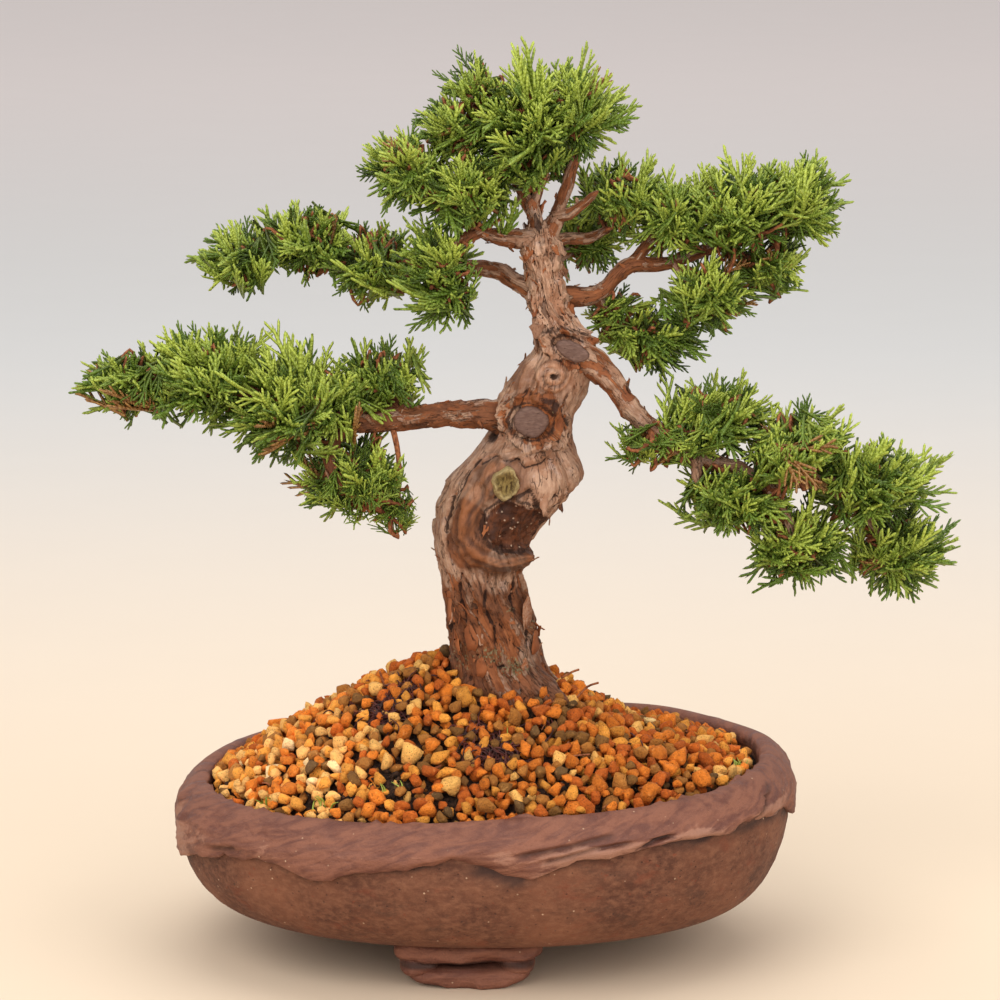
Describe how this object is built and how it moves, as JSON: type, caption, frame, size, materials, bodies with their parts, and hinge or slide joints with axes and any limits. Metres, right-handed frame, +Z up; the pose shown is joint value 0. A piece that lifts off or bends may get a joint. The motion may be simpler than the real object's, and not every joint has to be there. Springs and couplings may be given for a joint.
{
  "type": "bonsai tree in a pot",
  "caption": "Small juniper bonsai with a curved, barky trunk and flat pads of fine green foliage, in an oval hand-built stoneware pot topped with gravel.",
  "frame": {"origin": "middle of the bottom of the whole object's box, on the surface that the pot's feet rest on", "axes": "+Z up along the trunk, +X to the right seen from the front, and the front of the tree faces -Y"},
  "size_m": [0.2534, 0.1422, 0.2595],
  "materials": {
    "stoneware": "matte",
    "soil": "matte",
    "gravel": "matte",
    "bark": "matte",
    "foliage": "matte",
    "paste": "matte",
    "mesh_plastic": "matte",
    "wire": "satin"
  },
  "bodies": {
    "root": {"pot": "stoneware", "soil": "soil", "gravel_topdressing": "gravel", "trunk": "bark", "branch_lower_left": "bark", "branch_lower_right": "bark", "branch_mid_left": "bark", "branch_mid_right": "bark", "branch_upper_left": "bark", "branch_right_small": "bark", "branch_back": "bark", "apex_leader": "bark", "foliage_lower_left": "foliage", "foliage_lower_right": "foliage", "foliage_mid_left": "foliage", "foliage_upper_left": "foliage", "foliage_apex": "foliage", "foliage_right_upper": "foliage", "foliage_right_small": "foliage", "foliage_right_inner": "foliage", "foliage_back": "foliage", "wound_paste_upper": "paste", "wound_paste_lower": "paste", "drain_mesh_left": "mesh_plastic", "drain_mesh_right": "mesh_plastic", "mesh_wire_left": "wire", "mesh_wire_right": "wire"}
  },
  "joints": []
}
